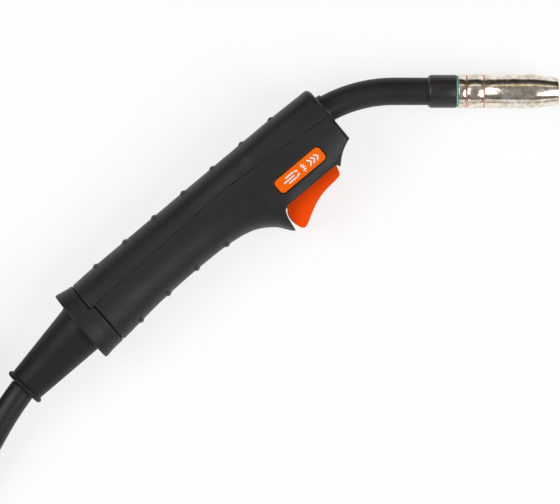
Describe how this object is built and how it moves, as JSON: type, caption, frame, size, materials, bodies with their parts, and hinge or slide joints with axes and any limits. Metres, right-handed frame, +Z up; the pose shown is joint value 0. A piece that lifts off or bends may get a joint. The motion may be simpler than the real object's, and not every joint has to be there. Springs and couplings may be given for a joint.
{
  "type": "mig welding torch",
  "caption": "MIG welding torch with a two-part handle, trigger, swan neck and conical gas nozzle, on a coaxial cable with a central plug.",
  "frame": {"origin": "bottom centre of the torch without its free cable; the torch lies on its side on z = 0", "axes": "+X is the direction the wire leaves the nozzle, +Y points across the torch towards its back, +Z up"},
  "size_m": [0.5255, 0.2702, 0.0421],
  "materials": {
    "shell_plastic": "fine matt texture",
    "orange_plastic": "satin",
    "black_rubber": "matt rubber",
    "cable_jacket": "satin rubber",
    "nozzle_plate": "polished nickel plate",
    "teal_insulator": "satin",
    "copper": "drawn copper",
    "brass": "machined brass",
    "steel": "bright steel",
    "switch_plastic": "moulded",
    "liner_plastic": "natural nylon",
    "wire_jacket": "thin wire jacket"
  },
  "bodies": {
    "cable_side": {"cable_boot": "black_rubber", "cable_in_boot": "cable_jacket", "torch_cable": "cable_jacket", "cable_coil": "cable_jacket", "cable_tail": "cable_jacket", "plug_boot": "black_rubber", "cable_in_plug": "cable_jacket", "plug_housing": "shell_plastic", "plug_body": "brass", "plug_o_ring": "black_rubber", "plug_pin_holder": "liner_plastic", "plug_retainer": "steel", "plug_liner_nut": "brass", "control_pin_spring_upper": "steel", "control_pin_spring_lower": "steel"},
    "ball_liner": {"ball_joint_liner": "liner_plastic"},
    "torch": {"handle_top_shell": "shell_plastic", "handle_bottom_shell": "shell_plastic", "rear_collar": "shell_plastic", "label_plate_near": "orange_plastic", "label_plate_far": "orange_plastic", "neck_ferrule": "black_rubber", "neck_insulation": "black_rubber", "neck_end_sleeve": "shell_plastic", "neck_conductor_tube": "copper", "neck_head": "brass", "contact_tip": "copper", "nozzle_spring": "steel", "insulating_ring": "teal_insulator", "wire_liner": "liner_plastic", "neck_connector": "brass", "cable_crimp": "brass", "handle_cable": "cable_jacket", "top_shell_screw": "steel", "bottom_shell_screw": "steel", "trigger_pin": "steel", "trigger_spring": "steel", "microswitch": "switch_plastic", "switch_leads": "wire_jacket"},
    "trigger": {"trigger": "orange_plastic"},
    "plunger": {"switch_plunger": "switch_plastic"},
    "nozzle": {"gas_nozzle": "nozzle_plate"},
    "nut": {"plug_nut": "shell_plastic"},
    "upper_control_pin": {"control_pin_upper": "steel"},
    "lower_control_pin": {"control_pin_lower": "steel"}
  },
  "joints": [
    {"name": "cable_swivel", "type": "hinge", "parent": "cable_side", "child": "ball_liner", "pos_m": [-0.10404, -0.0446, 0.01914], "axis": [0, 0, 1], "range_deg": [-9.4, 20.6]},
    {"name": "cable_tilt", "type": "hinge", "parent": "ball_liner", "child": "torch", "pos_m": [-0.10404, -0.0446, 0.01914], "axis": [-0.6428, 0.766, 0], "range_deg": [-12, 12]},
    {"name": "trigger_pull", "type": "hinge", "parent": "torch", "child": "trigger", "pos_m": [0.02311, 0.03925, 0.01914], "axis": [0, 0, -1], "range_deg": [0, 4.3], "stiffness_Nm_per_rad": 1.2, "springref_deg": -2.86, "deforming": ["trigger_spring"]},
    {"name": "plunger_slide", "type": "slide", "parent": "torch", "child": "plunger", "axis": [-0.6428, 0.766, 0], "range_m": [0, 0.0014]},
    {"name": "nozzle_pull_off", "type": "slide", "parent": "torch", "child": "nozzle", "axis": [1, 0, 0], "range_m": [0, 0.06]},
    {"name": "nut_spin", "type": "hinge", "parent": "cable_side", "child": "nut", "pos_m": [-0.3592, 0.05307, 0.02114], "axis": [0, 1, 0], "continuous": true},
    {"name": "upper_pin_press", "type": "slide", "parent": "cable_side", "child": "upper_control_pin", "axis": [0, -1, 0], "range_m": [0, 0.003], "stiffness_N_per_m": 400, "deforming": ["control_pin_spring_upper"]},
    {"name": "lower_pin_press", "type": "slide", "parent": "cable_side", "child": "lower_control_pin", "axis": [0, -1, 0], "range_m": [0, 0.003], "stiffness_N_per_m": 400, "deforming": ["control_pin_spring_lower"]}
  ],
  "couplings": [
    {"joint": "plunger_slide", "follows": "trigger_pull", "m_per_rad": 0.0163}
  ]
}
